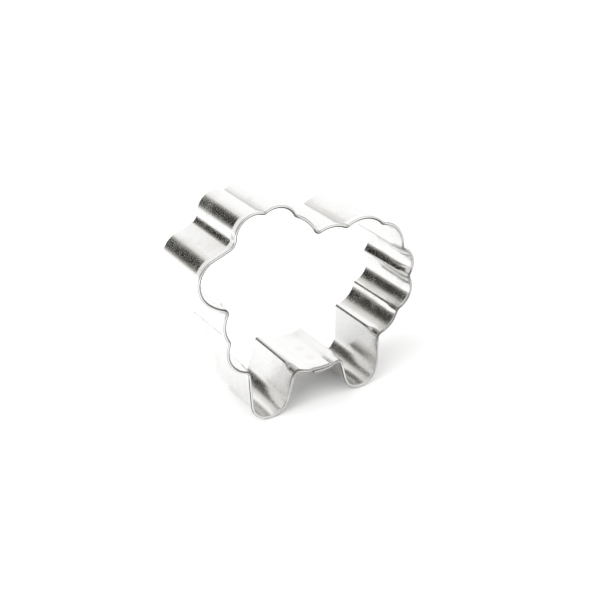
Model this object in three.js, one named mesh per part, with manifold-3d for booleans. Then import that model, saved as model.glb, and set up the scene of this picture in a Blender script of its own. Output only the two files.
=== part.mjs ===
// A cookie cutter in the shape of a sheep, standing on its two feet.
// One strip of bright sheet is bent to the outline. Its front edge is folded back on the outside as a hem
// and its back edge is left plain to cut. The strip's ends lap under the belly and are spot-welded there.
// Millimetres, +Z up. The hem faces -Y, the cutting edge faces +Y and the sheep looks towards -X.

import * as THREE from 'three';
import { mergeVertices } from 'three/addons/utils/BufferGeometryUtils.js';
import Module from 'manifold-3d';

// Strip
const SHEET = 0.3;
const STRIP_DEPTH = 25;
const HEM_WIDTH = 3;
const HEM_GAP = 0.45;
// The hem's raw edge is pressed nearer to the wall than its fold
const HEM_EDGE_GAP = 0.05;

// Bends at the corners, as radii on the hollow side of the sheet
const WALL_BEND = 0.45;
const HEM_BEND = 0.9;
// Depth behind the hem over which the stiff hem's bends give way to the wall's own
const HEM_RELAX = 3;

// Lap of the strip's two ends under the belly
const LAP_X = 3.4;
const LAP_LENGTH = 5.9;
const LAP_CLEARANCE = 0.05;
// Length over which each end steps out of line beside the lap
const JOGGLE_LENGTH = 2.6;

// Spot welds in one row through the lap
const WELD_DIAMETER = 2.2;
const WELD_PITCH = 6.6;
const WELD_DENT = 0.06;
// Sheet pressed flat by the electrodes all round each weld
const WELD_FLAT = 0.4;
const WELD_CLEARANCE = 0.05;

// Feet, as the middle and the radius of the rounded end of each leg
const REAR_FOOT = { x: 19.3, radius: 6.4 };
const FRONT_FOOT = { x: -16.1, radius: 6.5 };
const LEG_BOW = 0.05;

// Outline of the wall's middle line, anticlockwise seen from the hem side.
// Each stretch runs on to a corner [x, z] and bulges outwards by its height over the chord.
// A corner is a tight bend, or a soft one where the stretch gives the radius of its round.
const OUTLINE = {
  belly: { to: [11.1, 13.8], bulge: 1.9 },
  rearLeg: { to: [25.5, 18.8], foot: REAR_FOOT },
  haunch: { to: [33.3, 26.0], bulge: 1.9 },
  tailLock: { to: [37.1, 37.1], bulge: 3.3 },
  rumpLock: { to: [34.3, 47.3], bulge: 3.2 },
  loinLock: { to: [26.0, 58.0], bulge: 2.9 },
  backLock: { to: [12.2, 59.8], bulge: 2.7 },
  withersLock: { to: [1.1, 59.9], bulge: 1.6 },
  ear: { to: [-6.7, 67.8], bulge: 1.1 },
  crownLock: { to: [-17.1, 70.6], bulge: 2.6 },
  forelock: { to: [-26.5, 63.0], bulge: 3.9, round: 3.8 },
  nose: { to: [-36.6, 59.2], bulge: -0.2, round: 7.5 },
  muzzle: { to: [-36.6, 46.9], bulge: 2.5, round: 8 },
  jaw: { to: [-29.2, 42.9], bulge: 0.6 },
  breastLock: { to: [-29.6, 31.7], bulge: 1.9 },
  brisket: { to: [-23.3, 19.8], bulge: 3.5 },
  frontLeg: { to: [-7.1, 15.6], foot: FRONT_FOOT },
};

// Fineness of the facets
const FACET_DEPTH = 0.05;
const FOLD_STEPS = 4;
const RELAX_STEPS = 2;
const JOGGLE_STEPS = 4;
const WELD_SIDES = 24;
const DENT_STEPS = 4;
// Two stretches that meet within this angle run on without a bend
const SMOOTH_JOIN = THREE.MathUtils.degToRad(4);

// Sizes that follow
const FRONT = -STRIP_DEPTH / 2;
const BACK = STRIP_DEPTH / 2;
const HEM_THICKNESS = 2 * SHEET + HEM_GAP;
const HEM_REACH = HEM_THICKNESS - SHEET / 2;
const HEM_EDGE = FRONT + HEM_WIDTH;
const RAW_EDGE_REACH = SHEET / 2 + HEM_EDGE_GAP + SHEET;
const WALL_CORNER = SHEET / 2 + WALL_BEND;
const HEM_CORNER = HEM_REACH + HEM_BEND;
const WALL_STEP = SHEET + LAP_CLEARANCE;
const HEM_STEP = HEM_THICKNESS + LAP_CLEARANCE;
const WELD_PAD = WELD_DIAMETER / 2 + WELD_FLAT;
const FIRST_WELD = HEM_EDGE + HEM_RELAX + WELD_PAD;
const WELD_NAMES = ['spot_weld_front', 'spot_weld_back'];

const wasm = await Module();
wasm.setup();

// An arc from one point to another. Its radius is positive where it bulges outwards, to the right of travel.
function arcBetween(from, to, bulge) {
  const chord = to.clone().sub(from);
  const half = chord.length() / 2;
  const outwards = new THREE.Vector2(chord.y, -chord.x).normalize();
  const radius = (half * half + bulge * bulge) / (2 * bulge);
  const centre = from.clone().add(to).multiplyScalar(0.5).addScaledVector(outwards, bulge - radius);
  return { from, to, centre, radius };
}

// The point where a straight line from a corner touches a circle, on the side given by a sign.
function touchPoint(corner, centre, radius, side) {
  const reach = corner.clone().sub(centre);
  const angle = reach.angle() + side * Math.acos(radius / reach.length());
  return new THREE.Vector2(Math.cos(angle), Math.sin(angle)).multiplyScalar(radius).add(centre);
}

// The two sides of a leg and the round foot between them, with the hem's underside at the floor.
function legStretches(from, to, foot) {
  const centre = new THREE.Vector2(foot.x, HEM_REACH + foot.radius);
  const start = touchPoint(from, centre, foot.radius, 1);
  const end = touchPoint(to, centre, foot.radius, -1);
  return [
    arcBetween(from, start, LEG_BOW),
    { from: start, to: end, centre, radius: foot.radius },
    arcBetween(end, to, LEG_BOW),
  ];
}

// The belly's stretches in order of travel: the lap, the joggle and plain part behind it,
// and the plain part and joggle in front of it.
function bellyStretches(from, to, bulge) {
  const belly = arcBetween(from, to, bulge);
  const middle = Math.asin((LAP_X - belly.centre.x) / belly.radius);
  const markAt = (offset) => {
    const angle = middle + offset / belly.radius;
    const spoke = new THREE.Vector2(Math.sin(angle), -Math.cos(angle));
    return spoke.multiplyScalar(belly.radius).add(belly.centre);
  };
  const half = LAP_LENGTH / 2;
  const [frontJoggle, start, padStart, padEnd, end, rearJoggle] =
    [-half - JOGGLE_LENGTH, -half, -WELD_PAD, WELD_PAD, half, half + JOGGLE_LENGTH].map(markAt);
  const part = (a, b, steps) => ({ ...belly, from: a, to: b, steps });
  return {
    lap: [part(start, padStart, 1), part(padStart, padEnd, 1), part(padEnd, end, 1)],
    behind: [part(end, rearJoggle, JOGGLE_STEPS), part(rearJoggle, to)],
    before: [part(from, frontJoggle), part(frontJoggle, start, JOGGLE_STEPS)],
  };
}

// All stretches in order of travel, from the lap round to the lap again.
function outlineStretches() {
  const { belly, ...rest } = OUTLINE;
  const points = Object.values(OUTLINE).map((stretch) => new THREE.Vector2(...stretch.to));
  const { lap, behind, before } = bellyStretches(points.at(-1), points[0], belly.bulge);
  const others = Object.values(rest).flatMap(({ bulge, foot, round }, i) => (foot
    ? legStretches(points[i], points[i + 1], foot)
    : [{ ...arcBetween(points[i], points[i + 1], bulge), round }]));
  return [...lap, ...behind, ...others, ...before, ...lap];
}

// Outward direction on an arc at a point of it.
function outwardsAt(arc, point) {
  return point.clone().sub(arc.centre).divideScalar(arc.radius);
}

// Turn of the path, positive to the left, from one arc to the next.
function turnBetween(arc, next) {
  const before = outwardsAt(arc, arc.to);
  const after = outwardsAt(next, next.from);
  return Math.atan2(before.cross(after), before.dot(after));
}

// The point at two given distances from two centres that lies nearer to a third point.
function meetPoint(centreA, distanceA, centreB, distanceB, near) {
  const across = centreB.clone().sub(centreA);
  const gap = across.length();
  const along = (distanceA ** 2 - distanceB ** 2 + gap ** 2) / (2 * gap);
  const aside = Math.sqrt(distanceA ** 2 - along ** 2);
  across.divideScalar(gap);
  const foot = centreA.clone().addScaledVector(across, along);
  const side = new THREE.Vector2(-across.y, across.x);
  const [left, right] = [aside, -aside].map((way) => foot.clone().addScaledVector(side, way));
  return left.distanceTo(near) < right.distanceTo(near) ? left : right;
}

// The bend between two arcs, of a given radius where the corner isn't soft, or nothing where they run on.
function bendBetween(arc, next, cornerRadius) {
  const turn = turnBetween(arc, next);
  if (Math.abs(turn) < SMOOTH_JOIN) return null;
  const radius = Math.sign(turn) * (arc.round ?? cornerRadius);
  const centre = meetPoint(
    arc.centre, Math.abs(arc.radius - radius), next.centre, Math.abs(next.radius - radius), arc.to);
  const [from, to] = [arc, next].map((side) => {
    const spoke = centre.clone().sub(side.centre);
    return spoke.setLength(Math.abs(side.radius)).add(side.centre);
  });
  return { from, to, centre, radius, turn };
}

// Angle swept along an arc, positive to the left.
function sweepOf(arc) {
  const start = arc.from.clone().sub(arc.centre).angle();
  const end = arc.to.clone().sub(arc.centre).angle();
  const sweep = THREE.MathUtils.euclideanModulo((end - start) * Math.sign(arc.radius), 2 * Math.PI);
  return sweep * Math.sign(arc.radius);
}

// Steps that keep the facets of a turn of a given radius within their depth.
function facetSteps(turn, radius) {
  const facet = 2 * Math.acos(1 - FACET_DEPTH / Math.abs(radius));
  return Math.ceil(Math.abs(turn) / facet);
}

// Points and outward directions at even steps on an arc.
function walkArc(arc, steps) {
  const start = arc.from.clone().sub(arc.centre).angle();
  const sweep = sweepOf(arc);
  return Array.from({ length: steps + 1 }, (_, i) => {
    const angle = start + sweep * i / steps;
    const spoke = new THREE.Vector2(Math.cos(angle), Math.sin(angle));
    const point = arc.centre.clone().addScaledVector(spoke, Math.abs(arc.radius));
    return { point, outwards: spoke.multiplyScalar(Math.sign(arc.radius)) };
  });
}

// Stations along the whole strip with corners of one radius, from the outer end to the inner end.
function stationsOf(stretches, cornerRadius) {
  const bends = stretches.slice(1).map((arc, i) => bendBetween(stretches[i], arc, cornerRadius));
  const stations = [];
  stretches.forEach((arc, i) => {
    const before = bends[i - 1];
    const after = bends[i];
    const trimmed = { ...arc, from: before?.to ?? arc.from, to: after?.from ?? arc.to };
    const isRunOn = i > 0 && !before;
    const steps = arc.steps ?? facetSteps(sweepOf(arc), arc.radius);
    stations.push(...walkArc(trimmed, steps).slice(isRunOn ? 1 : 0));
    if (after) {
      const bendSteps = facetSteps(after.turn, arc.round ?? HEM_CORNER);
      stations.push(...walkArc(after, bendSteps).slice(1, -1));
    }
  });
  return stations;
}

// How far each station is pushed out of line by the lap: 1 at the outer end, -1 at the inner end.
function lapShares(stations) {
  const along = [0];
  for (let i = 1; i < stations.length; i++) {
    along.push(along[i - 1] + stations[i].point.distanceTo(stations[i - 1].point));
  }
  const total = along.at(-1);
  const joggleEnd = LAP_LENGTH + JOGGLE_LENGTH;
  const ramp = (distance) => 1 - THREE.MathUtils.smoothstep(distance, LAP_LENGTH, joggleEnd);
  return along.map((distance) => ramp(distance) - ramp(total - distance));
}

// Section of the strip, as distance outwards from the wall's middle line and depth.
function stripSection() {
  const fold = new THREE.Vector2((SHEET + HEM_GAP) / 2, FRONT + SHEET + HEM_GAP / 2);
  const section = new THREE.Path();
  section.absarc(fold.x, fold.y, SHEET + HEM_GAP / 2, Math.PI, 2 * Math.PI, false);
  section.lineTo(RAW_EDGE_REACH, HEM_EDGE);
  section.lineTo(RAW_EDGE_REACH - SHEET, HEM_EDGE);
  section.absarc(fold.x, fold.y, HEM_GAP / 2, 2 * Math.PI, Math.PI, true);
  const rows = Array.from({ length: RELAX_STEPS + 1 }, (_, i) => HEM_EDGE + HEM_RELAX * i / RELAX_STEPS);
  rows.push(BACK);
  rows.forEach((depth) => section.lineTo(SHEET / 2, depth));
  rows.reverse().forEach((depth) => section.lineTo(-SHEET / 2, depth));
  return section.getPoints(FOLD_STEPS / 2);
}

// How far a depth lies behind the stiff hem: 0 at the hem and 1 where the wall is free of it.
function freedom(depth) {
  return THREE.MathUtils.smoothstep(depth, HEM_EDGE, HEM_EDGE + HEM_RELAX);
}

// The section at a station, pushed out of line by that station's share of the lap.
function shiftedSection(section, share) {
  return section.map(({ x: out, y: depth }) => {
    const step = THREE.MathUtils.lerp(HEM_STEP, WALL_STEP, freedom(depth));
    return new THREE.Vector2(out + share * step / 2, depth);
  });
}

// The strip as one closed body: its section carried along the stations and closed at both ends.
function stripGeometry() {
  const stretches = outlineStretches();
  const hem = stationsOf(stretches, HEM_CORNER);
  const wall = stationsOf(stretches, WALL_CORNER);
  const plain = stripSection();
  const sections = lapShares(wall).map((share) => shiftedSection(plain, share));
  const positions = [];
  sections.forEach((section, i) => {
    section.forEach(({ x: out, y: depth }) => {
      const stiff = hem[i].point.clone().addScaledVector(hem[i].outwards, out);
      const free = wall[i].point.clone().addScaledVector(wall[i].outwards, out);
      const spot = stiff.lerp(free, freedom(depth));
      positions.push(spot.x, depth, spot.y);
    });
  });
  const count = plain.length;
  const faces = [];
  for (let i = 0; i + 1 < sections.length; i++) {
    for (let j = 0; j < count; j++) {
      const [a, b] = [i * count + j, i * count + (j + 1) % count];
      faces.push(a, b, b + count, a, b + count, a + count);
    }
  }
  const lastRing = (sections.length - 1) * count;
  const outerEnd = THREE.ShapeUtils.triangulateShape(sections[0], []);
  const innerEnd = THREE.ShapeUtils.triangulateShape(sections.at(-1), []);
  outerEnd.forEach(([a, b, c]) => faces.push(c, b, a));
  innerEnd.forEach(([a, b, c]) => faces.push(lastRing + a, lastRing + b, lastRing + c));
  const geometry = new THREE.BufferGeometry();
  geometry.setAttribute('position', new THREE.Float32BufferAttribute(positions, 3));
  geometry.setIndex(faces);
  return geometry;
}

// Places of the spot welds on the flat pad in the middle of the lap, and the turn that faces them outwards.
function weldPlaces() {
  const pad = outlineStretches()[1];
  const middle = pad.from.clone().add(pad.to).multiplyScalar(0.5);
  const { x, y } = middle.clone().sub(pad.centre).normalize();
  const outwards = new THREE.Vector3(x, 0, y);
  const turn = new THREE.Quaternion().setFromUnitVectors(THREE.Object3D.DEFAULT_UP, outwards);
  return WELD_NAMES.map((name, i) => {
    const position = new THREE.Vector3(middle.x, FIRST_WELD + i * WELD_PITCH, middle.y);
    return { name, position, turn };
  });
}

// A closed three.js geometry as a solid that can be cut.
function solidFrom(geometry) {
  const bare = new THREE.BufferGeometry();
  bare.setAttribute('position', geometry.getAttribute('position').clone());
  bare.setIndex(geometry.getIndex());
  const merged = mergeVertices(bare);
  const vertProperties = merged.getAttribute('position').array;
  const triVerts = new Uint32Array(merged.getIndex().array);
  return new wasm.Manifold(new wasm.Mesh({ numProp: 3, vertProperties, triVerts }));
}

// A solid back as a three.js geometry.
function geometryFrom(solid) {
  const mesh = solid.getMesh();
  const geometry = new THREE.BufferGeometry();
  geometry.setAttribute('position', new THREE.BufferAttribute(mesh.vertProperties, 3));
  geometry.setIndex(new THREE.BufferAttribute(mesh.triVerts, 1));
  return geometry;
}

// The strip with a hole through both layers of the lap for each weld.
function piercedStrip(places) {
  const width = WELD_DIAMETER / 2 + WELD_CLEARANCE;
  const reach = 2 * (WALL_STEP + SHEET);
  let strip = solidFrom(stripGeometry());
  places.forEach(({ position, turn }) => {
    const drill = new THREE.CylinderGeometry(width, width, reach, WELD_SIDES);
    drill.applyQuaternion(turn).translate(position.x, position.y, position.z);
    strip = strip.subtract(solidFrom(drill));
  });
  return geometryFrom(strip);
}

// One spot weld: a round slug through both layers, dented at both ends by the electrodes.
function weldGeometry() {
  const half = (WALL_STEP + SHEET) / 2;
  const radius = WELD_DIAMETER / 2;
  const dent = Array.from({ length: DENT_STEPS + 1 }, (_, i) => {
    const share = i / DENT_STEPS;
    return new THREE.Vector2(radius * share, half - WELD_DENT * (1 - share * share));
  });
  const lower = dent.map(({ x, y }) => new THREE.Vector2(x, -y));
  return new THREE.LatheGeometry([...lower, ...dent.reverse()], WELD_SIDES);
}

const places = weldPlaces();
const stripBody = piercedStrip(places);

// The whole cutter stands with its feet on the floor and its length centred on the origin.
const cutter = new THREE.Group();
stripBody.computeBoundingBox();
const { min, max } = stripBody.boundingBox;
cutter.position.set(-(min.x + max.x) / 2, 0, -min.z);

const brightSheet = new THREE.MeshStandardMaterial({ color: 0xd9d8d3, roughness: 0.18, metalness: 1 });
const strip = new THREE.Mesh(stripBody, brightSheet);
strip.name = 'cutter_strip';
cutter.add(strip);

places.forEach(({ name, position, turn }) => {
  const weldMetal = new THREE.MeshStandardMaterial({ color: 0xb9b7b0, roughness: 0.35, metalness: 1 });
  const weld = new THREE.Mesh(weldGeometry(), weldMetal);
  weld.name = name;
  weld.position.copy(position);
  weld.quaternion.copy(turn);
  cutter.add(weld);
});

export default cutter;
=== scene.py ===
"""A sheep-shaped cookie cutter of bright sheet, dressed for a studio picture.

One strip is bent to the outline, hemmed along its front edge and lapped under the belly, where spot welds
hold its two ends together. Sizes are in millimetres until a mesh is made, and meshes are in metres.
"""

import logging
import math
from dataclasses import dataclass, field, replace
from enum import Enum
from typing import Any, Self

import bmesh
import bpy
from bpy.types import ID, ColorRamp, Material, Mesh, Node, NodeSocket, NodeTree, Object
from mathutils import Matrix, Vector


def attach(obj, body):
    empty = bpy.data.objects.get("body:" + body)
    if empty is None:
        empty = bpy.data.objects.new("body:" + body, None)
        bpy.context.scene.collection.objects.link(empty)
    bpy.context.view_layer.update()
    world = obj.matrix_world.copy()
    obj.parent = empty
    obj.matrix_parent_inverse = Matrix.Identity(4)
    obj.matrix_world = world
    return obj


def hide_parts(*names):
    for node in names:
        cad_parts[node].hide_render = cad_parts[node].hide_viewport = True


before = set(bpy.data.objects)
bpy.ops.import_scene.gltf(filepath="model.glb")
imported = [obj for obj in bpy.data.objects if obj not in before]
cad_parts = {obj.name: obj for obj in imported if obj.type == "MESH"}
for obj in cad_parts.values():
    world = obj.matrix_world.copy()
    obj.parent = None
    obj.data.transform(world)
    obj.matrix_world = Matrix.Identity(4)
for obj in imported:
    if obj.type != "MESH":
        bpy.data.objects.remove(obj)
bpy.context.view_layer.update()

LOG = logging.getLogger("cookie_cutter")
MM = 0.001
NOISE_MIDDLE = 0.5

# A colour with its alpha, and two numbers such as a place or the ends of a ramp
Colour = tuple[float, float, float, float]
Pair = tuple[float, float]


class Field:
    """A socket's value, which Python operators turn into Math and Vector Math nodes."""

    def __init__(self, graph: "Graph", socket: NodeSocket) -> None:
        """Keeps the socket and the graph that its nodes go into."""
        self.graph = graph
        self.socket = socket

    @property
    def is_vector(self) -> bool:
        """Tells whether the socket holds a vector."""
        return self.socket.type == "VECTOR"

    def _join(self, operation: str, left: Any, right: Any) -> "Field":
        """Joins two values by one node.

        Args:
            operation: The Math or Vector Math operation.
            left: A field or a number.
            right: A field or a number.

        Returns:
            The field of the result.
        """
        vectors = any(isinstance(x, Field) and x.is_vector for x in (left, right))
        kind = "ShaderNodeVectorMath" if vectors else "ShaderNodeMath"
        return self.graph.out(kind, {"operation": operation}, {0: left, 1: right})

    def __add__(self, other: Any) -> "Field":
        """Adds another value."""
        return self._join("ADD", self, other)

    def __sub__(self, other: Any) -> "Field":
        """Takes another value away."""
        return self._join("SUBTRACT", self, other)

    def __rsub__(self, other: Any) -> "Field":
        """Takes this away from another value."""
        return self._join("SUBTRACT", other, self)

    def __mul__(self, other: Any) -> "Field":
        """Multiplies by another value."""
        return self._join("MULTIPLY", self, other)

    def __truediv__(self, other: Any) -> "Field":
        """Divides by another value."""
        return self._join("DIVIDE", self, other)

    def __abs__(self) -> "Field":
        """Drops a number's sign."""
        return self.graph.maths("ABSOLUTE", self)

    __radd__ = __add__
    __rmul__ = __mul__


@dataclass(frozen=True)
class Pattern:
    """Soft noise, with a scale for places and a pitch along and across for lengths.

    Its band is the part of the noise that shows, where it isn't all of it. Its seed sets it apart.
    """

    scale: float = 1.0
    detail: float = 1.0
    band: Pair | None = None
    pitch: Pair = (1.0, 1.0)
    seed: float = 0.0


class Graph:
    """A node tree that is filled node by node."""

    def __init__(self, tree: NodeTree) -> None:
        """Keeps the tree."""
        self.tree = tree

    @staticmethod
    def _socket(sockets: Any, key: int | str) -> NodeSocket:
        """Finds a socket of a node.

        Args:
            sockets: The node's inputs or outputs.
            key: The socket's place, identifier or name.

        Returns:
            The socket.
        """
        if isinstance(key, int):
            return sockets[key]
        return next((s for s in sockets if s.identifier == key), None) or sockets[key]

    def feed(self, socket: NodeSocket, value: Any) -> None:
        """Links a field to a socket, or sets a plain value on it.

        Args:
            socket: The input socket.
            value: A field, a number, a colour, a vector or a data-block.
        """
        if isinstance(value, Field):
            self.tree.links.new(value.socket, socket)
        elif socket.type == "VECTOR" and isinstance(value, (int, float)):
            socket.default_value = (value,) * 3
        else:
            socket.default_value = value

    def node(self, kind: str, settings: dict | None = None, sockets: dict | None = None) -> Node:
        """Adds one node.

        Args:
            kind: The node's type.
            settings: Its own settings, and a ramp's stops as (place, grey) pairs under "stops".
            sockets: Values or fields for its inputs.

        Returns:
            The node.
        """
        node = self.tree.nodes.new(kind)
        for name, value in (settings or {}).items():
            if name == "stops":
                self._set_stops(node.color_ramp, value)
            else:
                setattr(node, name, value)
        for key, value in (sockets or {}).items():
            self.feed(self._socket(node.inputs, key), value)
        return node

    @staticmethod
    def _set_stops(ramp: ColorRamp, stops: tuple[Pair, ...]) -> None:
        """Sets a ramp's grey stops.

        Args:
            ramp: The ramp.
            stops: Places and greys in rising order.
        """
        while len(ramp.elements) < len(stops):
            ramp.elements.new(1.0)
        for element, (place, grey) in zip(ramp.elements, stops):
            element.position = place
            element.color = (grey, grey, grey, 1.0)

    def out(self, kind: str, settings: dict | None = None, sockets: dict | None = None,
            output: int | str = 0) -> Field:
        """Adds one node and gives one of its outputs, by its place, its identifier or its name."""
        made = self.node(kind, settings, sockets)
        return Field(self, self._socket(made.outputs, output))

    def ramp(self, value: Field, low: float, high: float, to_low: float = 0.0, to_high: float = 1.0,
             smooth: bool = True) -> Field:
        """Maps a value from one range to another and holds it there.

        Args:
            value: The value.
            low: Where the range starts.
            high: Where it ends.
            to_low: The result at the start.
            to_high: The result at the end.
            smooth: Whether the ends are eased.

        Returns:
            The mapped value.
        """
        settings = {"interpolation_type": "SMOOTHSTEP" if smooth else "LINEAR"}
        sockets = {"Value": value, 1: low, 2: high, 3: to_low, 4: to_high}
        return self.out("ShaderNodeMapRange", settings, sockets)

    def mix_vector(self, share: Field, first: Field, second: Field) -> Field:
        """Goes from one vector to another by a share."""
        sockets = {"Factor_Float": share, "A_Vector": first, "B_Vector": second}
        return self.out("ShaderNodeMix", {"data_type": "VECTOR"}, sockets, "Result_Vector")

    def mix_colour(self, share: Field, first: Any, second: Any) -> Field:
        """Goes from one colour to another by a share."""
        sockets = {"Factor_Float": share, "A_Color": first, "B_Color": second}
        return self.out("ShaderNodeMix", {"data_type": "RGBA"}, sockets, "Result_Color")

    def maths(self, operation: str, *values: Any) -> Field:
        """Works out one operation on numbers."""
        return self.out("ShaderNodeMath", {"operation": operation}, dict(enumerate(values)))

    def length(self, vector: Field) -> Field:
        """Gives a vector's length."""
        return self.out("ShaderNodeVectorMath", {"operation": "LENGTH"}, {0: vector}, "Value")

    def noise(self, place: Field, pattern: Pattern) -> Field:
        """Gives a pattern's noise.

        Args:
            place: Where the noise is read.
            pattern: The pattern.

        Returns:
            Noise around a half, or its band drawn out from 0 to 1 where it has one.
        """
        sockets = {"Vector": place, "Scale": pattern.scale, "Detail": pattern.detail}
        noise = self.out("ShaderNodeTexNoise", {"noise_dimensions": "3D"}, sockets)
        return self.ramp(noise, *pattern.band) if pattern.band else noise

    def woven(self, along: Field, across: Field, pattern: Pattern) -> Field:
        """Gives a pattern's noise by two lengths, each drawn out to its own pitch."""
        lengths = [length * pitch for length, pitch in zip((along, across), pattern.pitch)]
        return self.noise(self.joined(*lengths, pattern.seed), pattern)

    def joined(self, x: Any, y: Any, z: Any) -> Field:
        """Makes a vector of three values."""
        return self.out("ShaderNodeCombineXYZ", None, {0: x, 1: y, 2: z})

    def parts(self, vector: Field) -> list[Field]:
        """Gives a vector's three values."""
        node = self.node("ShaderNodeSeparateXYZ", None, {0: vector})
        return [Field(self, socket) for socket in node.outputs]


class ShapeGraph(Graph):
    """A Geometry Nodes tree with named inputs, which turns an object into a plain mesh."""

    def __init__(self, name: str) -> None:
        """Starts an empty tree that takes a geometry and gives one back.

        Args:
            name: The tree's name.
        """
        super().__init__(bpy.data.node_groups.new(name, "GeometryNodeTree"))
        for way in ("INPUT", "OUTPUT"):
            self.tree.interface.new_socket("Geometry", in_out=way, socket_type="NodeSocketGeometry")
        self.source = self.node("NodeGroupInput")
        self.geometry = Field(self, self.source.outputs[0])
        self.values: dict[str, float] = {}

    def size(self, name: str, value: float) -> Field:
        """Adds a named input for a size.

        Args:
            name: The input's name.
            value: The size, in metres where it is a length.

        Returns:
            The size as a field.
        """
        socket = self.tree.interface.new_socket(name, in_out="INPUT", socket_type="NodeSocketFloat")
        self.values[socket.identifier] = value
        return Field(self, self._socket(self.source.outputs, socket.identifier))

    def attribute(self, name: str, kind: str = "FLOAT") -> Field:
        """Reads an attribute that the geometry carries."""
        return self.out("GeometryNodeInputNamedAttribute", {"data_type": kind}, {"Name": name})

    def stored(self, shape: Field, name: str, value: Field) -> Field:
        """Stores a value on a shape's points.

        Args:
            shape: The geometry.
            name: The attribute's name.
            value: A number or a vector.

        Returns:
            The geometry with the attribute.
        """
        settings = {"data_type": "FLOAT_VECTOR" if value.is_vector else "FLOAT", "domain": "POINT"}
        sockets = {"Geometry": shape, "Name": name, "Value": value}
        return self.out("GeometryNodeStoreNamedAttribute", settings, sockets)

    def finish(self, shape: Field, material: Material) -> None:
        """Ends the tree with real faces and their material.

        Args:
            shape: The finished geometry.
            material: What it is made of.
        """
        real = self.out("GeometryNodeRealizeInstances", None, {0: shape})
        dressed = self.out("GeometryNodeSetMaterial", None, {0: real, "Material": material})
        self.node("NodeGroupOutput", None, {0: dressed})

    def apply(self, piece: Object) -> None:
        """Turns an object's own mesh into what the tree makes of it.

        Args:
            piece: The object. The tree's modifier is removed again.
        """
        modifier = piece.modifiers.new(self.tree.name, "NODES")
        modifier.node_group = self.tree
        for identifier, value in self.values.items():
            modifier[identifier] = value
        depsgraph = bpy.context.evaluated_depsgraph_get()
        made = bpy.data.meshes.new_from_object(piece.evaluated_get(depsgraph))
        piece.modifiers.remove(modifier)
        start, piece.data = piece.data, made
        bpy.data.meshes.remove(start)
        made.name = piece.name


@dataclass(frozen=True)
class Mark:
    """What a mark does to bare metal: its colour and how far that shows, its roughness and its relief."""

    colour: Colour | None = None
    share: float = 1.0
    roughness: float = 0.0
    relief: float = 0.0


class MetalGraph(Graph):
    """The node tree of a bare metal's material."""

    def __init__(self, name: str) -> None:
        """Starts an empty material.

        Args:
            name: The material's name.
        """
        self.material = bpy.data.materials.new(name)
        self.material.use_nodes = True
        self.material.node_tree.nodes.clear()
        super().__init__(self.material.node_tree)

    def spot(self) -> Field:
        """Gives the place on the object, in millimetres."""
        return self.out("ShaderNodeTexCoord", None, None, "Object") * (1 / MM)

    def attribute(self, name: str, output: str = "Fac") -> Field:
        """Reads an attribute that the mesh carries."""
        return self.out("ShaderNodeAttribute", {"attribute_name": name}, None, output)

    def finish(self, colour: Any, roughness: Any, marks: list[tuple[Field, Mark]], bump: Pair) -> Material:
        """Ends the tree with bare metal that bears marks.

        Args:
            colour: The clean metal's colour.
            roughness: Its roughness.
            marks: How strong each mark is at a place and what it does, a later colour over an earlier one.
            bump: The relief's strength and its depth in millimetres.

        Returns:
            The material.
        """
        relief: Any = 0.0
        for strength, mark in marks:
            if mark.colour:
                colour = self.mix_colour(strength * mark.share, colour, mark.colour)
            if mark.roughness:
                roughness = roughness + strength * mark.roughness
            if mark.relief:
                relief = relief + strength * mark.relief
        sockets = {"Strength": bump[0], "Distance": bump[1] * MM, "Height": relief}
        normal = self.out("ShaderNodeBump", None, sockets, "Normal")
        sockets = {"Base Color": colour, "Metallic": 1.0, "Roughness": roughness, "Normal": normal}
        shader = self.out("ShaderNodeBsdfPrincipled", None, sockets)
        self.node("ShaderNodeOutputMaterial", None, {"Surface": shader})
        return self.material


@dataclass(frozen=True)
class Station:
    """A place on the wall's middle line: the way outwards, the crease, the share of the rim's painted shade
    that sits on the fold's inner line, and the flare.
    """

    point: Vector
    outwards: Vector
    crease: float = 0.0
    rim_wear: float = 0.0
    flare: float = 0.0


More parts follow.
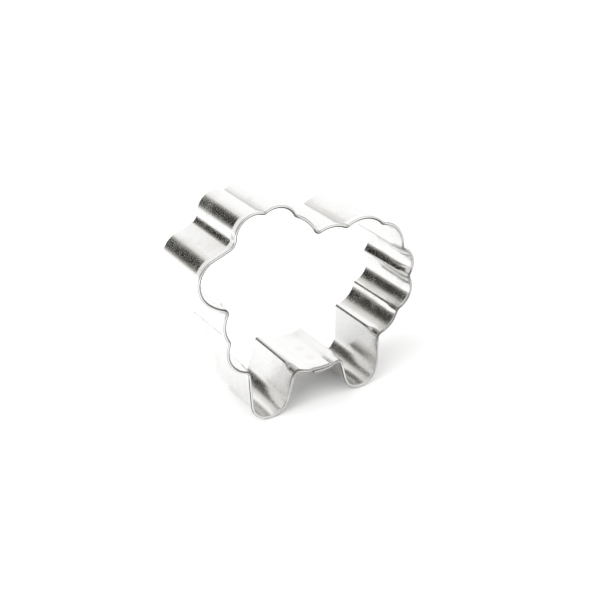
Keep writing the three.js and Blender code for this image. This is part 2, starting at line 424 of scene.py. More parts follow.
@dataclass(frozen=True)
class Arc:
    """A round stretch of the outline, seen from the hem side. A radius over 0 bulges outwards.

    Its own round is the radius of a soft corner at its end. The crease at that corner, the share of the
    rim's painted shade that sits on the fold's inner line, and the flare of the arc's rim, are shares from
    0 to 1.
    """

    start: Vector
    end: Vector
    centre: Vector
    radius: float
    round: float | None = None
    rim_wear: float = 0.0
    crease: float = 1.0
    flare: float = 0.2

    @classmethod
    def over_chord(cls, start: Vector, end: Vector, bulge: float) -> Self:
        """Makes the arc between two points.

        Args:
            start: Where it starts.
            end: Where it ends, anticlockwise round the outline.
            bulge: Its height over the chord, over 0 outwards.

        Returns:
            The arc.
        """
        chord = end - start
        half = chord.length / 2
        outwards = Vector((chord.y, -chord.x)).normalized()
        radius = (half * half + bulge * bulge) / (2 * bulge)
        return cls(start, end, (start + end) / 2 + outwards * (bulge - radius), radius)

    def part(self, start: Vector, end: Vector) -> Self:
        """Gives the part of the arc between two of its points."""
        return replace(self, start=start, end=end)

    def outwards_at(self, point: Vector) -> Vector:
        """Gives the way outwards at a point of the arc."""
        return (point - self.centre) / self.radius

    @property
    def first_angle(self) -> float:
        """The angle of the arc's start about its centre."""
        spoke = self.start - self.centre
        return math.atan2(spoke.y, spoke.x)

    @property
    def sweep(self) -> float:
        """The angle from start to end, over 0 to the left."""
        spoke = self.end - self.centre
        way = math.copysign(1, self.radius)
        turn = (math.atan2(spoke.y, spoke.x) - self.first_angle) * way
        return turn % math.tau * way

    def walk(self, steps: int, crease: float = 0.0) -> list[Station]:
        """Places stations at even steps.

        Args:
            steps: The number of steps.
            crease: How creased the sheet is along the arc.

        Returns:
            The stations, both ends included.
        """
        stations = []
        for i in range(steps + 1):
            angle = self.first_angle + self.sweep * i / steps
            spoke = Vector((math.cos(angle), math.sin(angle)))
            point = self.centre + spoke * abs(self.radius)
            outwards = spoke * math.copysign(1, self.radius)
            stations.append(Station(point, outwards, crease, self.rim_wear, self.flare))
        return stations


class Touch(Enum):
    """Which side of a round foot a leg's straight side touches, as the sign of a turn."""

    BEFORE = 1
    AFTER = -1


@dataclass(frozen=True)
class Lock:
    """A bulging stretch that runs on to a corner, which is tight unless it has a radius of its own."""

    to: Pair
    bulge: float
    # How much of the rim's painted shade sits on the fold's inner line rather than its outer line
    rim_wear: float
    round: float | None = None
    crease: float = 1.0
    flare: float = 0.2

    def arcs(self, start: Vector, floor: float) -> list[Arc]:
        """Gives the stretch as arcs.

        Args:
            start: The corner where it starts.
            floor: The floor's height, which plays no part here.

        Returns:
            The one arc.
        """
        arc = Arc.over_chord(start, Vector(self.to), self.bulge)
        shares = {name: getattr(self, name) for name in ("round", "rim_wear", "crease", "flare")}
        return [replace(arc, **shares)]


@dataclass(frozen=True)
class Leg:
    """Two almost straight sides and the round foot between them, run on to a corner."""

    to: Pair
    foot_x: float
    foot_radius: float
    # The sides' and the foot's shares of the rim's painted shade on the fold's inner line
    side_inner_shade: Pair
    foot_inner_shade: float = 0.3
    bow: float = 0.05

    def arcs(self, start: Vector, floor: float) -> list[Arc]:
        """Gives the leg as arcs.

        Args:
            start: The corner where the leg starts.
            floor: The height of the foot's lowest middle line.

        Returns:
            One side, the foot and the other side.
        """
        end = Vector(self.to)
        centre = Vector((self.foot_x, floor + self.foot_radius))
        down = self._touch(start, centre, Touch.BEFORE)
        rise = self._touch(end, centre, Touch.AFTER)
        foot = Arc(down, rise, centre, self.foot_radius, rim_wear=self.foot_inner_shade)
        sides = [Arc.over_chord(a, b, self.bow) for a, b in ((start, down), (rise, end))]
        first, last = (replace(side, rim_wear=inner_shade) for side, inner_shade in zip(sides, self.side_inner_shade))
        return [first, foot, last]

    def _touch(self, corner: Vector, centre: Vector, side: Touch) -> Vector:
        """Finds where a straight line from a corner touches the foot.

        Args:
            corner: Where the line starts.
            centre: The foot's centre.
            side: The side that it touches.

        Returns:
            The touching point.
        """
        reach = corner - centre
        angle = math.atan2(reach.y, reach.x) + side.value * math.acos(self.foot_radius / reach.length)
        return centre + Vector((math.cos(angle), math.sin(angle))) * self.foot_radius


@dataclass
class SheepOutline:
    """The outline of the wall's middle line, anticlockwise from the belly's lap, seen from the hem side."""

    # A lock's third number, and a leg's side and foot shares, set how much of the rim's painted shade sits
    # on the fold's inner line
    belly: Lock = Lock((11.1, 13.8), 1.9, 0.6, crease=0.25)
    rest: tuple[Lock | Leg, ...] = (
        Leg((25.5, 18.8), 19.3, 6.4, (0.1, 0.45)),  # rear leg
        Lock((33.3, 26.0), 1.9, 0.55, flare=0.16),  # haunch
        Lock((37.1, 37.1), 3.3, 0.50, flare=0.35),  # tail
        Lock((34.3, 47.3), 3.2, 0.45, flare=1.0),  # rump
        Lock((26.0, 58.0), 2.9, 0.40, flare=0.4),  # loin
        Lock((12.2, 59.8), 2.7, 1.0),  # back
        Lock((1.1, 59.9), 1.6, 1.0),  # withers
        Lock((-6.7, 67.8), 1.1, 0.5),  # ear
        Lock((-17.1, 70.6), 2.6, 0.95),  # crown
        Lock((-26.5, 63.0), 3.9, 0.9, 3.8),  # forelock
        Lock((-36.6, 59.2), -0.2, 0.9, 7.5),  # nose
        Lock((-36.6, 46.9), 2.5, 0.85, 8.0),  # muzzle
        Lock((-29.2, 42.9), 0.6, 0.85),  # jaw
        Lock((-29.6, 31.7), 1.9, 0.9, crease=0.1),  # breast
        Lock((-23.3, 19.8), 3.5, 0.8),  # brisket
        Leg((-7.1, 15.6), -16.1, 6.5, (0.2, 0.45)),  # front leg
    )
    floor: float = 0.9
    frame_shift: Pair = (0.0257, -0.0420)
    lap_x: float = 3.4
    lap_length: float = 5.9
    joggle_length: float = 2.6
    station_gap: float = 0.7
    arc_step: float = math.radians(4)
    bend_step: float = math.radians(9)
    smooth_join: float = math.radians(4)
    # Painted shade at the corners: each bend puts more of the rim's painted dark line on the fold's inner
    # line
    corner_inner_shade: float = 0.4

    def arcs(self) -> list[Arc]:
        """Gives all stretches in order.

        Returns:
            The arcs from the lap's start round to the lap's end.
        """
        first = self._whole_belly()
        lap_start, lap_end = (self._on_belly(first, way * self.lap_length / 2) for way in (-1, 1))
        lap = first.part(lap_start, lap_end)
        arcs = [lap, first.part(lap_end, first.end)]
        corner = first.end
        for stretch in self.rest:
            arcs += stretch.arcs(corner, self.floor)
            corner = Vector(stretch.to)
        return arcs + [first.part(first.start, lap_start), lap]

    def _whole_belly(self) -> Arc:
        """Gives the belly from corner to corner."""
        return self.belly.arcs(Vector(self.rest[-1].to), self.floor)[0]

    def _on_belly(self, belly: Arc, offset: float) -> Vector:
        """Finds a point of the belly at a distance from the middle of the lap."""
        angle = math.asin((self.lap_x - belly.centre.x) / belly.radius) + offset / belly.radius
        return belly.centre + Vector((math.sin(angle), -math.cos(angle))) * belly.radius

    def lap_place(self) -> Station:
        """Finds the lap.

        Returns:
            The middle of the lap in the frame, with the way outwards there.
        """
        belly = self._whole_belly()
        middle = self._on_belly(belly, 0.0)
        return Station(self._framed(middle), belly.outwards_at(middle))

    def _framed(self, point: Vector) -> Vector:
        """Shifts a point from the outline's own origin to the frame's."""
        return point + Vector(self.frame_shift)

    @staticmethod
    def _turn(arc: Arc, following: Arc) -> float:
        """Gives the path's turn from one arc to the next, over 0 to the left."""
        before, after = arc.outwards_at(arc.end), following.outwards_at(following.start)
        return math.atan2(before.cross(after), before.dot(after))

    def _bend(self, arc: Arc, following: Arc, corner_radius: float) -> Arc | None:
        """Makes the round bend between two stretches.

        Args:
            arc: The stretch before the corner.
            following: The stretch after it.
            corner_radius: The bend's radius on the middle line.

        Returns:
            The bend, or nothing where the stretches run on smoothly.
        """
        turn = self._turn(arc, following)
        if abs(turn) < self.smooth_join:
            return None
        radius = math.copysign(arc.round or corner_radius, turn)
        reaches = [abs(side.radius - radius) for side in (arc, following)]
        across = following.centre - arc.centre
        gap = across.length
        along = (reaches[0] ** 2 - reaches[1] ** 2 + gap ** 2) / (2 * gap)
        aside = math.sqrt(reaches[0] ** 2 - along ** 2)
        across.normalize()
        foot = arc.centre + across * along
        side = Vector((-across.y, across.x)) * aside
        centre = min((foot + side, foot - side), key=lambda spot: (spot - arc.end).length)
        ends = [s.centre + (centre - s.centre).normalized() * abs(s.radius) for s in (arc, following)]
        # Painted shade: a bend takes its neighbours' mean share and the corner's extra painted shade
        inner_shade = (arc.rim_wear + following.rim_wear) / 2 + self.corner_inner_shade
        flare = (arc.flare + following.flare) / 2
        return Arc(ends[0], ends[1], centre, radius, rim_wear=min(inner_shade, 1.0), flare=flare)

    def stations(self, corner_radius: float) -> list[Station]:
        """Places stations along the whole strip, as many for any corner radius.

        Args:
            corner_radius: The radius of the bends on the middle line.

        Returns:
            The stations in the frame, from the outer end to the inner end.
        """
        arcs = self.arcs()
        bends = [self._bend(a, b, corner_radius) for a, b in zip(arcs, arcs[1:])] + [None]
        turns = [self._turn(a, b) for a, b in zip(arcs, arcs[1:])]
        stations: list[Station] = []
        start = None
        for i, (arc, bend) in enumerate(zip(arcs, bends)):
            trimmed = arc.part(start or arc.start, bend.start if bend else arc.end)
            length = abs(arc.sweep * arc.radius)
            steps = math.ceil(max(length / self.station_gap, abs(arc.sweep) / self.arc_step))
            skip = 1 if stations and start is None else 0
            stations += trimmed.walk(steps)[skip:]
            start = bend.end if bend else None
            if bend:
                length = abs(turns[i]) * (arc.round or 0.0)
                steps = math.ceil(max(abs(turns[i]) / self.bend_step, length / self.station_gap)) + 1
                stations += bend.walk(steps, 0.0 if arc.round else arc.crease)[1:-1]
        return [replace(station, point=self._framed(station.point)) for station in stations]


@dataclass(frozen=True)
class BrightSheet:
    """Bright tinned sheet, like a mirror, with rolling lines, grain, smudges, scratches and strained
    creases, and with painted shade along its creases and painted dark lines of shade and reflection along
    the hem's fold.

    Each mark follows the pattern or the lengths, in millimetres, that place it.
    """

    colour: Colour = (0.76, 0.757, 0.75, 1.0)
    roughness: float = 0.13
    bump: Pair = (1.0, 0.008)
    rolling: Pattern = Pattern(detail=3.0, pitch=(0.03, 5.0))
    rolling_mark: Mark = Mark(roughness=0.06, relief=0.35)
    grain: Pattern = Pattern(4.5, 3.0)
    grain_mark: Mark = Mark(relief=0.8)
    speckle: Pattern = Pattern(3.4, 1.0, (0.50, 0.70))
    speckle_mark: Mark = Mark(roughness=0.20)
    smudge: Pattern = Pattern(0.11, 3.0, (0.48, 0.70))
    smudge_mark: Mark = Mark((0.70, 0.695, 0.68, 1.0), 0.55, 0.08)
    scratch: Pattern = Pattern(1.0, 2.0, (0.69, 0.73), seed=4.0)
    scratch_slant: tuple[Pair, ...] = ((0.05, 0.09), (-1.3, 2.2))
    scratch_mark: Mark = Mark(roughness=0.14, relief=-0.5)
    strain: Pattern = Pattern(detail=2.0, pitch=(9.0, 0.12), seed=2.0)
    strain_mark: Mark = Mark(roughness=0.10, relief=0.8)
    halo: Pair = (2.3, 0.92)
    heat_mark: Mark = Mark((0.66, 0.64, 0.60, 1.0), 0.3)
    foot: Pair = (11.0, 5.5)
    foot_mark: Mark = Mark(roughness=0.06)
    edge_mark: Mark = Mark((0.34, 0.335, 0.32, 1.0), 0.7, 0.30)
    # Painted shade: the colour is darkened along the creased bends, where shade falls
    crease_shade_mark: Mark = Mark((0.40, 0.395, 0.38, 1.0), 0.75)
    # Painted shade and reflection: a dark colour drawn along the hem's fold, on its inner line or its outer
    # line, broken up by the grain
    outer_shade_share: float = 1.2
    line_grain: Pair = (0.2, 0.5)
    line_strength: Pair = (0.75, 1.0)
    rim_shade_mark: Mark = Mark((0.06, 0.058, 0.052, 1.0))

    def material(self, weld_spots: list[Vector]) -> Material:
        """Makes the material.

        Args:
            weld_spots: The middles of the welds, in millimetres, where the heat has left a halo.

        Returns:
            The material.
        """
        graph = MetalGraph("bright_sheet")
        spot = graph.spot()
        _, _, height = graph.parts(spot)
        along, around, _ = graph.parts(graph.attribute("strip_place", "Vector"))
        names = ("crease", "cut_edge", "fold_line", "rim_line", "rim_wear")
        crease, edge, fold, rim, inner_shade = (graph.attribute(name) for name in names)
        grain = graph.noise(spot, self.grain)
        slanted = [along * lead + around * climb for lead, climb in self.scratch_slant]
        heat = sum(graph.ramp(graph.length(spot - middle), *self.halo) for middle in weld_spots)
        # The painted dark line on the fold: on its inner line where the inner-shade share is high, else on
        # its outer line
        line = fold * inner_shade + rim * (1.0 - inner_shade) * self.outer_shade_share
        return graph.finish(self.colour, self.roughness, [
            (graph.woven(along, around, self.rolling) - NOISE_MIDDLE, self.rolling_mark),
            (grain, self.grain_mark),
            (graph.noise(spot, self.speckle), self.speckle_mark),
            (graph.noise(spot, self.smudge), self.smudge_mark),
            (graph.woven(*slanted, self.scratch), self.scratch_mark),
            (graph.woven(along, around, self.strain) * crease, self.strain_mark),
            (heat, self.heat_mark),
            (graph.ramp(height, *self.foot), self.foot_mark),
            (edge, self.edge_mark),
            # Painted shade along the creases, then the painted dark line on the fold
            (crease, self.crease_shade_mark),
            (line * graph.ramp(grain, *self.line_grain, *self.line_strength), self.rim_shade_mark),
        ], self.bump)


@dataclass(frozen=True)
class WeldMetal:
    """The dull spot of a weld: pitted grey, with a darker ring where the electrode pressed.

    The ring's place is in shares of the weld's radius.
    """

    colour: Colour = (0.76, 0.755, 0.745, 1.0)
    roughness: float = 0.20
    bump: Pair = (0.25, 0.02)
    pits: Pattern = Pattern(6.0, 4.0)
    pit_mark: Mark = Mark(roughness=0.20, relief=1.0)
    ring: Pair = (0.55, 0.95)
    ring_mark: Mark = Mark((0.62, 0.61, 0.59, 1.0), 0.8)

    def material(self, radius: float) -> Material:
        """Makes the material.

        Args:
            radius: The weld's radius, in millimetres.

        Returns:
            The material.
        """
        graph = MetalGraph("weld_metal")
        pits = graph.noise(graph.spot(), self.pits)
        ring = graph.ramp(graph.attribute("off_middle"), *(radius * share for share in self.ring))
        marks = [(pits, self.pit_mark), (ring, self.ring_mark)]
        return graph.finish(self.colour, self.roughness, marks, self.bump)


def new_object(name: str, data: ID) -> Object:
    """Puts a mesh, a light or a camera into the scene at the origin.

    Args:
        name: The object's name.
        data: The mesh, light or camera.

    Returns:
        The object.
    """
    made = bpy.data.objects.new(name, data)
    bpy.context.scene.collection.objects.link(made)
    return made


def hand_over(piece: Object, slot: str, *nodes: str) -> None:
    """Hangs a finished piece on the frame's root and hides the solids that it stands for.

    Args:
        piece: The piece.
        slot: Its material's slot, which is not used.
        nodes: The solids that it stands for.
    """
    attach(piece, "root")
    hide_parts(*nodes)
    LOG.info("%s: %d faces", piece.name, len(piece.data.polygons))


def line_mesh(name: str, points: list[Vector], closed: bool) -> Mesh:
    """Makes a mesh of points joined in a line.

    Args:
        name: The mesh's name.
        points: The points in order.
        closed: Whether the last point joins the first.

    Returns:
        The mesh.
    """
    mesh = bpy.data.meshes.new(name)
    count = len(points)
    edges = [(i, (i + 1) % count) for i in range(count if closed else count - 1)]
    mesh.from_pydata(points, edges, [])
    return mesh


def upright(flat: Vector, depth: float = 0.0) -> Vector:
    """Stands a vector of the outline up in the frame, at a depth."""
    return Vector((flat.x, depth, flat.y))


def spaced(start: float, end: float, steps: int) -> list[float]:
    """Gives even steps from a start up to an end, which is left out."""
    return [start + (end - start) * i / steps for i in range(steps)]


def store(mesh: Mesh, name: str, values: list[Any]) -> None:
    """Stores numbers or vectors on a mesh's points.

    Args:
        mesh: The mesh.
        name: The attribute's name.
        values: One number or vector for each point.
    """
    is_vector = isinstance(values[0], Vector)
    attribute = mesh.attributes.new(name, "FLOAT_VECTOR" if is_vector else "FLOAT", "POINT")
    for item, value in zip(attribute.data, values):
        if is_vector:
            item.vector = value
        else:
            item.value = value


def face_outwards(mesh: Mesh) -> None:
    """Turns a mesh's faces outwards where they point in.

    Args:
        mesh: The mesh, which is closed.
    """
    shape = bmesh.new()
    shape.from_mesh(mesh)
    if shape.calc_volume(signed=True) < 0:
        bmesh.ops.reverse_faces(shape, faces=shape.faces)
        shape.to_mesh(mesh)
    shape.free()


@dataclass(frozen=True)
class Row:
    """A point of the strip's section: how far it reaches outwards, its depth and the marks it bears, its
    cut edge and the painted shade lines on its fold.
    """

    reach: float
    depth: float
    cut_edge: float = 0.0
    fold_line: float = 0.0
    rim_line: float = 0.0


@dataclass
class CutterStrip:
    """The strip of sheet, bent to the outline, hemmed on the outside and lapped under the belly.

    A dark line painted on the fold as shade and reflection has its middle's angle off the front, over 0
    outwards, and its spread.
    """

    outline: SheepOutline = field(default_factory=SheepOutline)
    finish: BrightSheet = field(default_factory=BrightSheet)
    node: str = "cutter_strip"
    slot: str = "bright_sheet"
    sheet: float = 0.3
    depth: float = 25.0
    hem_width: float = 3.0
    hem_gap: float = 0.40
    hem_edge_gap: float = 0.05
    wall_bend: float = 0.45
    hem_bend: float = 0.95
    hem_relax: float = 3.0
    lap_clearance: float = 0.05
    weld_count: int = 2
    weld_radius: float = 1.1
    weld_dent: float = 0.06
    first_weld: float = 7.5
    weld_pitch: float = 6.6
    wave: float = 0.03
    wave_pattern: Pattern = Pattern(pitch=(0.16, 0.09 / MM))
    dent: float = 0.03
    dent_pattern: Pattern = Pattern(pitch=(0.42, 0.35 / MM), seed=7.0)
    flare: float = 0.55
    flare_depth: float = 4.0
    flare_fade: float = 12.0
    edge_step: float = 0.1
    # Painted shade and reflection on the fold: an inner line, an outer line and a fainter line near the raw
    # edge
    inner_shade_line: Pair = (math.radians(-35), math.radians(50))
    outer_shade_line: Pair = (math.radians(54), math.radians(26))
    raw_edge_shade_line: Pair = (math.radians(56), math.radians(14))
    raw_edge_shade_share: float = 0.5
    even_spread: float = 1.5
    fold_steps: int = 18
    relax_steps: int = 8
    flare_steps: int = 8
    wall_steps: int = 24
    smooth_angle: float = math.radians(38)

    @property
    def front(self) -> float:
        """The hem's front."""
        return -self.depth / 2

    @property
    def hem_edge(self) -> float:
        """The hem's raw edge."""
        return self.front + self.hem_width

    @property
    def hem_thickness(self) -> float:
        """Two layers of sheet and the gap between them."""
        return 2 * self.sheet + self.hem_gap

    @property
    def fold_depth(self) -> float:
        """The depth of the fold's middle."""
        return self.front + self.hem_thickness / 2

    @property
    def hem_reach(self) -> float:
        """How far the hem stands out from the wall's middle line."""
        return self.hem_thickness - self.sheet / 2

    def weld_spots(self) -> list[Vector]:
        """Finds the welds.

        Returns:
            The middle of each weld, in millimetres.
        """
        middle = self.outline.lap_place().point
        first = self.front + self.first_weld
        return [upright(middle, first + i * self.weld_pitch) for i in range(self.weld_count)]

    @staticmethod
    def _line(angle: float, line: Pair) -> float:
        """Gives how dark a painted shade line makes the fold at an angle off its front.

        Args:
            angle: The angle, in radians, over 0 outwards.
            line: The line's middle and its spread.

        Returns:
            A share that peaks along the line.
        """
        middle, spread = line
        off = min(abs(angle - middle) / spread, 1.0)
        return min(1.0, 2 - 2 * off)

    def _hem_face(self, radius: float, edge_reach: float) -> list[Row]:
        """Gives one face of the hem, from the wall round the fold to the raw edge.

        Args:
            radius: The fold's radius on that face.
            edge_reach: How far the raw edge reaches outwards on that face.

        Returns:
            The face's rows.
        """
        fold = Vector(((self.sheet + self.hem_gap) / 2, self.fold_depth))
        edge = Vector((edge_reach, self.hem_edge))
        reach = edge - fold
        tilt = math.atan2(reach.y, reach.x) - math.acos(radius / reach.length)
        angles = [(math.pi + tilt) * i / self.fold_steps - math.pi / 2 for i in range(self.fold_steps + 1)]
        spots = [fold + Vector((math.sin(a), -math.cos(a))) * radius for a in angles]
        rows = []
        for spot, angle in zip(spots, angles):
            # Each fold row carries painted shade: the inner line or the fainter line near the raw edge, and
            # the outer line
            raw = self._line(angle, self.raw_edge_shade_line) * self.raw_edge_shade_share
            fold_shade = max(self._line(angle, self.inner_shade_line), raw)
            rows.append(Row(spot.x, spot.y, 0.0, fold_shade, self._line(angle, self.outer_shade_line)))
        inset = edge + (spots[-1] - edge).normalized() * self.edge_step
        return rows + [Row(inset.x, inset.y), Row(edge.x, edge.y, 1.0)]

    def section(self) -> list[Row]:
        """Gives the strip's section.

        Returns:
            The rows from the inner side round the fold, the hem and the wall.
        """
        half = self.sheet / 2
        back = self.depth / 2
        hem_inside = half + self.hem_edge_gap
        rows = self._hem_face(self.sheet + self.hem_gap / 2, hem_inside + self.sheet)
        rows += reversed(self._hem_face(self.hem_gap / 2, hem_inside))
        free = self.hem_edge + self.hem_relax
        depths = spaced(self.hem_edge, free, self.relax_steps) + spaced(free, back, self.wall_steps)
        depths += [back - self.edge_step]
        rows += [Row(half, depth) for depth in depths]
        rows += [Row(half, back, 1.0), Row(-half, back, 1.0)]
        flared = spaced(self.fold_depth, self.hem_edge, self.flare_steps)[1:]
        rows += [Row(-half, depth) for depth in reversed(flared + depths)]
        return rows

    def path(self) -> Mesh:
        """Makes the line that the section follows.

        Returns:
            The line, with the wall's and the hem's stations, the lap's shares and the marks stored on it.
        """
        bends = {"wall": self.sheet / 2 + self.wall_bend, "hem": self.hem_reach + self.hem_bend}
        lines = {name: self.outline.stations(radius) for name, radius in bends.items()}
        points = {name: [upright(s.point) for s in line] for name, line in lines.items()}
        wall = lines["wall"]
        along = [0.0]
        for before, after in zip(points["wall"], points["wall"][1:]):
            along.append(along[-1] + (after - before).length)
        mesh = line_mesh("strip_path", [p * MM for p in points["wall"]], False)
        for name, line in lines.items():
            store(mesh, f"{name}_point", [p * MM for p in points[name]])
            store(mesh, f"{name}_out", [upright(s.outwards) for s in line])
        store(mesh, "along", along)
        store(mesh, "lap_share", [self._ramp(s) - self._ramp(along[-1] - s) for s in along])
        store(mesh, "crease", [s.crease for s in wall])
        # The share of the rim's painted shade on the fold's inner line, and the flare, are evened along the
        # path
        for name in ("rim_wear", "flare"):
            store(mesh, name, self._evened([getattr(s, name) for s in wall], along))
        return mesh

    def _evened(self, values: list[float], along: list[float]) -> list[float]:
        """Evens out values along the path.

        Args:
            values: One value for each station.
            along: The stations' distances along the path.

        Returns:
            The mean of the values near each station.
        """
        near = ([v for v, other in zip(values, along) if abs(other - place) <= self.even_spread]
                for place in along)
        return [sum(some) / len(some) for some in near]

    def _ramp(self, distance: float) -> float:
        """Gives how far the sheet is pushed out of line beside an end.

        Args:
            distance: The distance from the end.

        Returns:
            A share from 1 at the lap to 0 clear of it.
        """
        share = (distance - self.outline.lap_length) / self.outline.joggle_length
        share = min(max(share, 0.0), 1.0)
        return 1 - share * share * (3 - 2 * share)

    def section_object(self) -> Object:
        """Makes the closed section line.

        Returns:
            Its object, with the rows' sizes and marks stored on it.
        """
        rows = self.section()
        mesh = line_mesh("strip_section", [Vector((row.reach, row.depth, 0)) * MM for row in rows], True)
        around = [0.0]
        for row, following in zip(rows, rows[1:]):
            around.append(around[-1] + math.hypot(following.reach - row.reach, following.depth - row.depth))
        store(mesh, "reach", [row.reach * MM for row in rows])
        store(mesh, "row_depth", [row.depth * MM for row in rows])
        store(mesh, "around", around)
        for name in ("cut_edge", "fold_line", "rim_line"):
            store(mesh, name, [getattr(row, name) for row in rows])
        return new_object("strip_section", mesh)

    def tree(self, material: Material, section: Object) -> ShapeGraph:
        """Builds the tree that carries the section along the path.

        Args:
            material: What the strip is made of.
            section: The section line's object.

        Returns:
            The tree.
        """
        graph = ShapeGraph("bent_strip")
        hem_edge = graph.size("Hem edge", self.hem_edge * MM)
        line = graph.out("GeometryNodeMeshToCurve", None, {0: graph.geometry})
        profile = graph.out("GeometryNodeObjectInfo", None, {"Object": section}, "Geometry")
        loop = graph.out("GeometryNodeMeshToCurve", None, {0: profile})
        swept = graph.out("GeometryNodeCurveToMesh", None,
                          {"Curve": line, "Profile Curve": loop, "Fill Caps": True})

        depth = graph.attribute("row_depth")
        freedom = graph.ramp(depth - hem_edge, 0.0, self.hem_relax * MM)
        reach = self._reach(graph, freedom)
        stiff, free = (self._beside(graph, part, reach) for part in ("hem", "wall"))
        x, _, z = graph.parts(graph.mix_vector(freedom, stiff, free))
        placed = graph.out("GeometryNodeSetPosition", None,
                           {"Geometry": swept, "Position": graph.joined(x, depth, z)})
        strip_place = graph.joined(graph.attribute("along"), graph.attribute("around"), 0.0)
        named = graph.stored(placed, "strip_place", strip_place)

        angle = graph.out("GeometryNodeInputMeshEdgeAngle")
        is_sharp = graph.out("FunctionNodeCompare", {"data_type": "FLOAT", "operation": "GREATER_THAN"},
                             {"A": angle, "B": self.smooth_angle})
        smooth = graph.out("GeometryNodeSetShadeSmooth", {"domain": "FACE"},
                           {"Geometry": named, "Shade Smooth": True})
        creased = graph.out("GeometryNodeSetShadeSmooth", {"domain": "EDGE"},
                            {"Geometry": smooth, "Selection": is_sharp, "Shade Smooth": False})
        graph.finish(creased, material)
        return graph

    def _reach(self, graph: ShapeGraph, freedom: Field) -> Field:
        """Gives how far each point reaches outwards from its line.

        Args:
            graph: The strip's tree.
            freedom: How free of the hem the wall is there, from 0 to 1.

        Returns:
            The section's reach with the lap's step, the wall's waves, the hem's dents and the flare.
        """
        hem_step = graph.size("Hem step", (self.hem_thickness + self.lap_clearance) * MM)
        wall_step = graph.size("Wall step", (self.sheet + self.lap_clearance) * MM)
        wave = graph.size("Wave", self.wave * MM)
        dent = graph.size("Dent", self.dent * MM)
        flare = graph.size("Flare", self.flare * MM)
        depth, along, share = (graph.attribute(name) for name in ("row_depth", "along", "lap_share"))
        # Beside the lap each end steps out of line by half
        step = hem_step + freedom * (wall_step - hem_step)
        reach = graph.attribute("reach") + share * step * 0.5
        ripple = (graph.woven(along, depth, self.wave_pattern) - NOISE_MIDDLE) * wave * freedom
        pressed = (graph.woven(along, depth, self.dent_pattern) - 1.0) * dent * (1 - freedom)
        # The wall is drawn in behind the rim and comes back into line further down
        flare_end = self.front + self.flare_depth
        straight = graph.ramp(depth, flare_end * MM, self.front * MM, smooth=False)
        fade = graph.ramp(depth, (flare_end + self.flare_fade) * MM, flare_end * MM)
        drawn_in = (1 - straight * straight) * fade * flare * graph.attribute("flare")
        return reach + (ripple + pressed - drawn_in) * (1 - abs(share))

    @staticmethod
    def _beside(graph: ShapeGraph, part: str, reach: Field) -> Field:
        """Gives the places at a reach outwards from the hem's or the wall's line."""
        point, outwards = (graph.attribute(f"{part}_{end}", "FLOAT_VECTOR") for end in ("point", "out"))
        return point + outwards * reach

    def build(self) -> None:
        """Builds and dresses the strip."""
        material = self.finish.material(self.weld_spots())
        piece = new_object("hemmed_strip", self.path())
        section = self.section_object()
        self.tree(material, section).apply(piece)
        bpy.data.objects.remove(section)
        face_outwards(piece.data)
        hand_over(piece, self.slot, self.node)


@dataclass
class SpotWelds:
    """The welds through the lap: round slugs, dented at both ends by the electrodes."""

    strip: CutterStrip
    finish: WeldMetal = field(default_factory=WeldMetal)
    nodes: tuple[str, ...] = ("spot_weld_front", "spot_weld_back")
    slot: str = "weld_metal"
    sides: int = 40
    rings: int = 8
    proud: float = 0.01

    def tree(self, material: Material) -> ShapeGraph:
        """Builds the tree that stands a dished slug on each weld's point.

        Args:
            material: What the welds are made of.

        Returns:
            The tree.
        """
        strip = self.strip
        graph = ShapeGraph("spot_welds")
        radius = graph.size("Radius", strip.weld_radius * MM)
        height = graph.size("Height", (2 * strip.sheet + strip.lap_clearance + 2 * self.proud) * MM)
        dent = graph.size("Dent", strip.weld_dent * MM)
        slug = graph.out("GeometryNodeMeshCylinder", {"fill_type": "TRIANGLE_FAN"}, {
            "Vertices": self.sides, "Side Segments": 1, "Fill Segments": self.rings,
            "Radius": radius, "Depth": height})
        x, y, z = graph.parts(graph.out("GeometryNodeInputPosition"))
        off_middle = graph.length(graph.joined(x, y, 0.0))
        share = off_middle / radius
        sink = dent * (1 - share * share) * graph.maths("SIGN", z)
        dished = graph.out("GeometryNodeSetPosition", None,
                           {"Geometry": slug, "Offset": graph.joined(0.0, 0.0, 0.0 - sink)})
        named = graph.stored(dished, "off_middle", off_middle * (1 / MM))
        turn = upright(strip.outline.lap_place().outwards).to_track_quat("Z", "Y").to_euler()
        stood = graph.out("GeometryNodeInstanceOnPoints", None,
                          {"Points": graph.geometry, "Instance": named, "Rotation": tuple(turn)})
        graph.finish(stood, material)
        return graph

    def build(self) -> None:
        """Builds and dresses the welds."""
        spots = [spot * MM for spot in self.strip.weld_spots()]
        piece = new_object("spot_welds", line_mesh("weld_spots", spots, False))
        self.tree(self.finish.material(self.strip.weld_radius)).apply(piece)
        hand_over(piece, self.slot, *self.nodes)


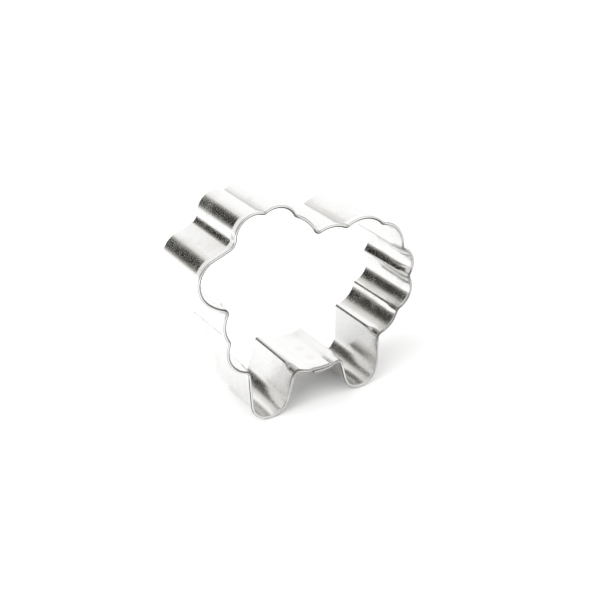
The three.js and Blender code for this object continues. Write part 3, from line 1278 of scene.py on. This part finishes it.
@dataclass
class Studio:
    """A white floor, a soft white room with one dark side, a softbox for the floor and the camera.

    The room goes by a direction's turn about the depth's axis, in degrees, its depth and its height.
    """

    azimuth: float = math.radians(-32.40)
    elevation: float = math.radians(27.006)
    distance: float = 0.3226
    target: tuple[float, float, float] = (0.00269, 0.0, 0.03232)
    focal_px: float = 988.6
    image_px: int = 600
    sensor: float = 36.0
    near_clip: float = 0.01
    floor_size: float = 6.0
    floor_colour: Colour = (0.90, 0.90, 0.90, 1.0)
    floor_roughness: float = 0.9
    floor_shine: float = 0.1
    room_light: float = 1.28
    room_tint: Colour = (1.0, 1.0, 1.0, 1.0)
    dark_tint: Colour = (1.0, 0.95, 0.82, 1.0)
    dark_turn: Pair = (90.0, 180.0)
    dark_stops: tuple[Pair, ...] = (
        (0.0, 1.0), (0.11, 0.94), (0.167, 0.63), (0.233, 0.36), (0.30, 0.20), (0.367, 0.105),
        (0.433, 0.048), (0.50, 0.028), (0.633, 0.016), (0.70, 0.022), (0.767, 0.038), (0.833, 0.10),
        (0.90, 0.24), (0.967, 0.42), (1.0, 0.55),
    )
    dark_start: Pair = (0.51, 0.59)
    dark_end: Pair = (0.91, 0.86)
    haze_depth: float = 0.71
    haze_light: float = 0.72
    haze_gain: float = 1.7
    haze_lean: float = 80.0
    haze_onset: Pair = (75.5, 83.0)
    haze_fall: Pair = (88.0, 106.0)
    haze_far: float = 0.8
    wall_shade: float = 0.40
    side_wall: Pair = (0.62, 0.42)
    side_wall_height: Pair = (0.75, 0.15)
    end_wall: Pair = (0.91, 1.0)
    box_power: float = 15.0
    box_size: float = 1.2
    box_place: tuple[float, float, float] = (-0.92, -0.16, 0.44)

    def floor(self) -> None:
        """Lays the plain pale floor."""
        half = self.floor_size / 2
        mesh = bpy.data.meshes.new("floor")
        corners = [(-half, -half, 0), (half, -half, 0), (half, half, 0), (-half, half, 0)]
        mesh.from_pydata(corners, [], [(0, 1, 2, 3)])
        floor = new_object("floor", mesh)
        material = bpy.data.materials.new("floor")
        material.use_nodes = True
        inputs = material.node_tree.nodes["Principled BSDF"].inputs
        inputs["Base Color"].default_value = self.floor_colour
        inputs["Roughness"].default_value = self.floor_roughness
        inputs["Specular IOR Level"].default_value = self.floor_shine
        mesh.materials.append(material)

    def room(self) -> None:
        """Lights the scene by a white room whose upper left side is dark, to draw stripes on the metal."""
        world = bpy.data.worlds.new("studio")
        bpy.context.scene.world = world
        world.use_nodes = True
        world.node_tree.nodes.clear()
        graph = Graph(world.node_tree)
        x, y, z = graph.parts(graph.out("ShaderNodeTexCoord", None, None, "Generated"))
        turn = graph.maths("ARCTAN2", z, x) * math.degrees(1)
        depth = abs(y)
        place = graph.ramp(turn, *self.dark_turn, smooth=False)
        dark = graph.out("ShaderNodeValToRGB", {"stops": self.dark_stops}, {"Fac": place})
        beyond = depth - self.haze_depth
        haze_turn = turn - beyond * self.haze_lean
        haze = beyond * self.haze_gain + self.haze_light
        haze = haze * graph.ramp(haze_turn, *self.haze_fall, 1.0, self.haze_far)
        haze = 1.0 - (1.0 - haze) * graph.ramp(haze_turn, *self.haze_onset)
        span = graph.ramp(depth, *self.dark_start) * graph.ramp(depth, *self.dark_end)
        brightness = 1.0 - (1.0 - graph.maths("MINIMUM", dark, haze)) * span
        tint = graph.mix_colour(brightness, self.dark_tint, self.room_tint)
        side_wall = graph.ramp(depth, *self.side_wall) * graph.ramp(z, *self.side_wall_height)
        walls = side_wall + graph.ramp(depth, *self.end_wall)
        light = brightness * (1.0 - walls * self.wall_shade) * self.room_light
        shade = graph.out("ShaderNodeBackground", None, {"Color": tint, "Strength": light})
        graph.node("ShaderNodeOutputWorld", None, {"Surface": shade})

    def softbox(self) -> None:
        """Hangs the softbox to the left, aimed at the cutter's middle and unseen in its metal."""
        light = bpy.data.lights.new("softbox", "AREA")
        light.energy = self.box_power
        light.shape = "SQUARE"
        light.size = self.box_size
        box = new_object("softbox", light)
        box.location = self.box_place
        aim = Vector(self.target) - Vector(self.box_place)
        box.rotation_euler = aim.to_track_quat("-Z", "Y").to_euler()
        box.visible_glossy = False

    def camera(self) -> None:
        """Sets the camera at the photograph's viewing angle."""
        data = bpy.data.cameras.new("camera")
        data.sensor_fit = "HORIZONTAL"
        data.sensor_width = self.sensor
        data.lens = self.focal_px / self.image_px * self.sensor
        data.clip_start = self.near_clip
        camera = new_object("camera", data)
        level, rise = math.cos(self.elevation), math.sin(self.elevation)
        back = Vector((math.sin(self.azimuth) * level, -math.cos(self.azimuth) * level, rise))
        camera.location = Vector(self.target) + back * self.distance
        camera.rotation_euler = (-back).to_track_quat("-Z", "Y").to_euler()
        bpy.context.scene.camera = camera

    def build(self) -> None:
        """Sets up the whole studio."""
        self.camera()
        self.floor()
        self.room()
        self.softbox()
        bpy.context.scene.view_settings.view_transform = "Standard"
        LOG.info("studio ready")


def main() -> None:
    """Builds the studio, the strip and its welds in order."""
    logging.basicConfig(level=logging.INFO, format="%(name)s: %(message)s")
    Studio().build()
    strip = CutterStrip()
    strip.build()
    SpotWelds(strip).build()


if __name__ == "__main__":
    main()
